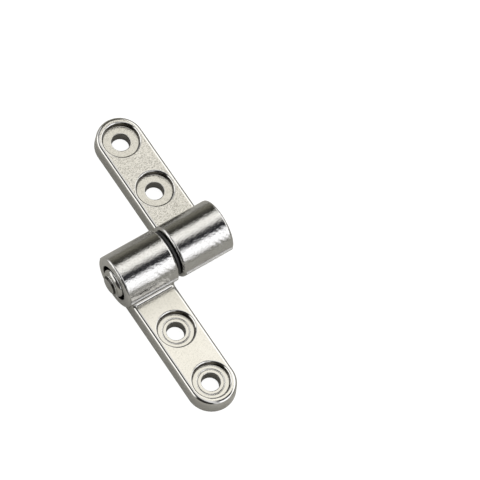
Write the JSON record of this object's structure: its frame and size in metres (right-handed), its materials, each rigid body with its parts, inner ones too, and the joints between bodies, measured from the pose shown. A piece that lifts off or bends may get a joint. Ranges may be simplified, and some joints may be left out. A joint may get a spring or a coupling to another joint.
{
  "type": "friction hinge",
  "caption": "Friction hinge: cast strap leaves with counterbored screw holes, offset barrels end to end on one shaft, and a disc friction pack inside.",
  "frame": {"origin": "on the mounting plane, under the pin axis, in the middle of the footprint", "axes": "+X along the pin axis from the lower leaf's barrel to the upper leaf's, +Y along the upper leaf's strap, +Z out of the leaves' screw side"},
  "size_m": [0.0318, 0.078, 0.0138],
  "materials": {
    "nickel_cast": "satin nickel plate over a fine cast grain, brighter on the barrels",
    "steel": "ground steel",
    "spring_steel": "dark oiled spring steel",
    "bronze": "oiled bronze",
    "dark_polymer": "matt black acetal"
  },
  "bodies": {
    "lower_leaf": {"lower_leaf": "nickel_cast", "shaft_bush": "bronze", "wear_washer": "bronze", "housing_plate_1": "bronze", "housing_plate_2": "bronze", "housing_plate_3": "bronze", "housing_plate_4": "bronze", "housing_plate_5": "bronze"},
    "upper_leaf": {"upper_leaf": "nickel_cast", "shaft": "steel", "thrust_washer": "dark_polymer", "end_washer": "steel", "shaft_plate_1": "steel", "shaft_plate_2": "steel", "shaft_plate_3": "steel", "shaft_plate_4": "steel", "shaft_plate_5": "steel", "disc_spring_1": "spring_steel", "disc_spring_2": "spring_steel", "disc_spring_3": "spring_steel"}
  },
  "joints": [
    {"name": "hinge", "type": "hinge", "parent": "lower_leaf", "child": "upper_leaf", "pos_m": [0.00072, 0, 0.0069], "axis": [1, 0, 0], "range_deg": [0, 180]}
  ]
}
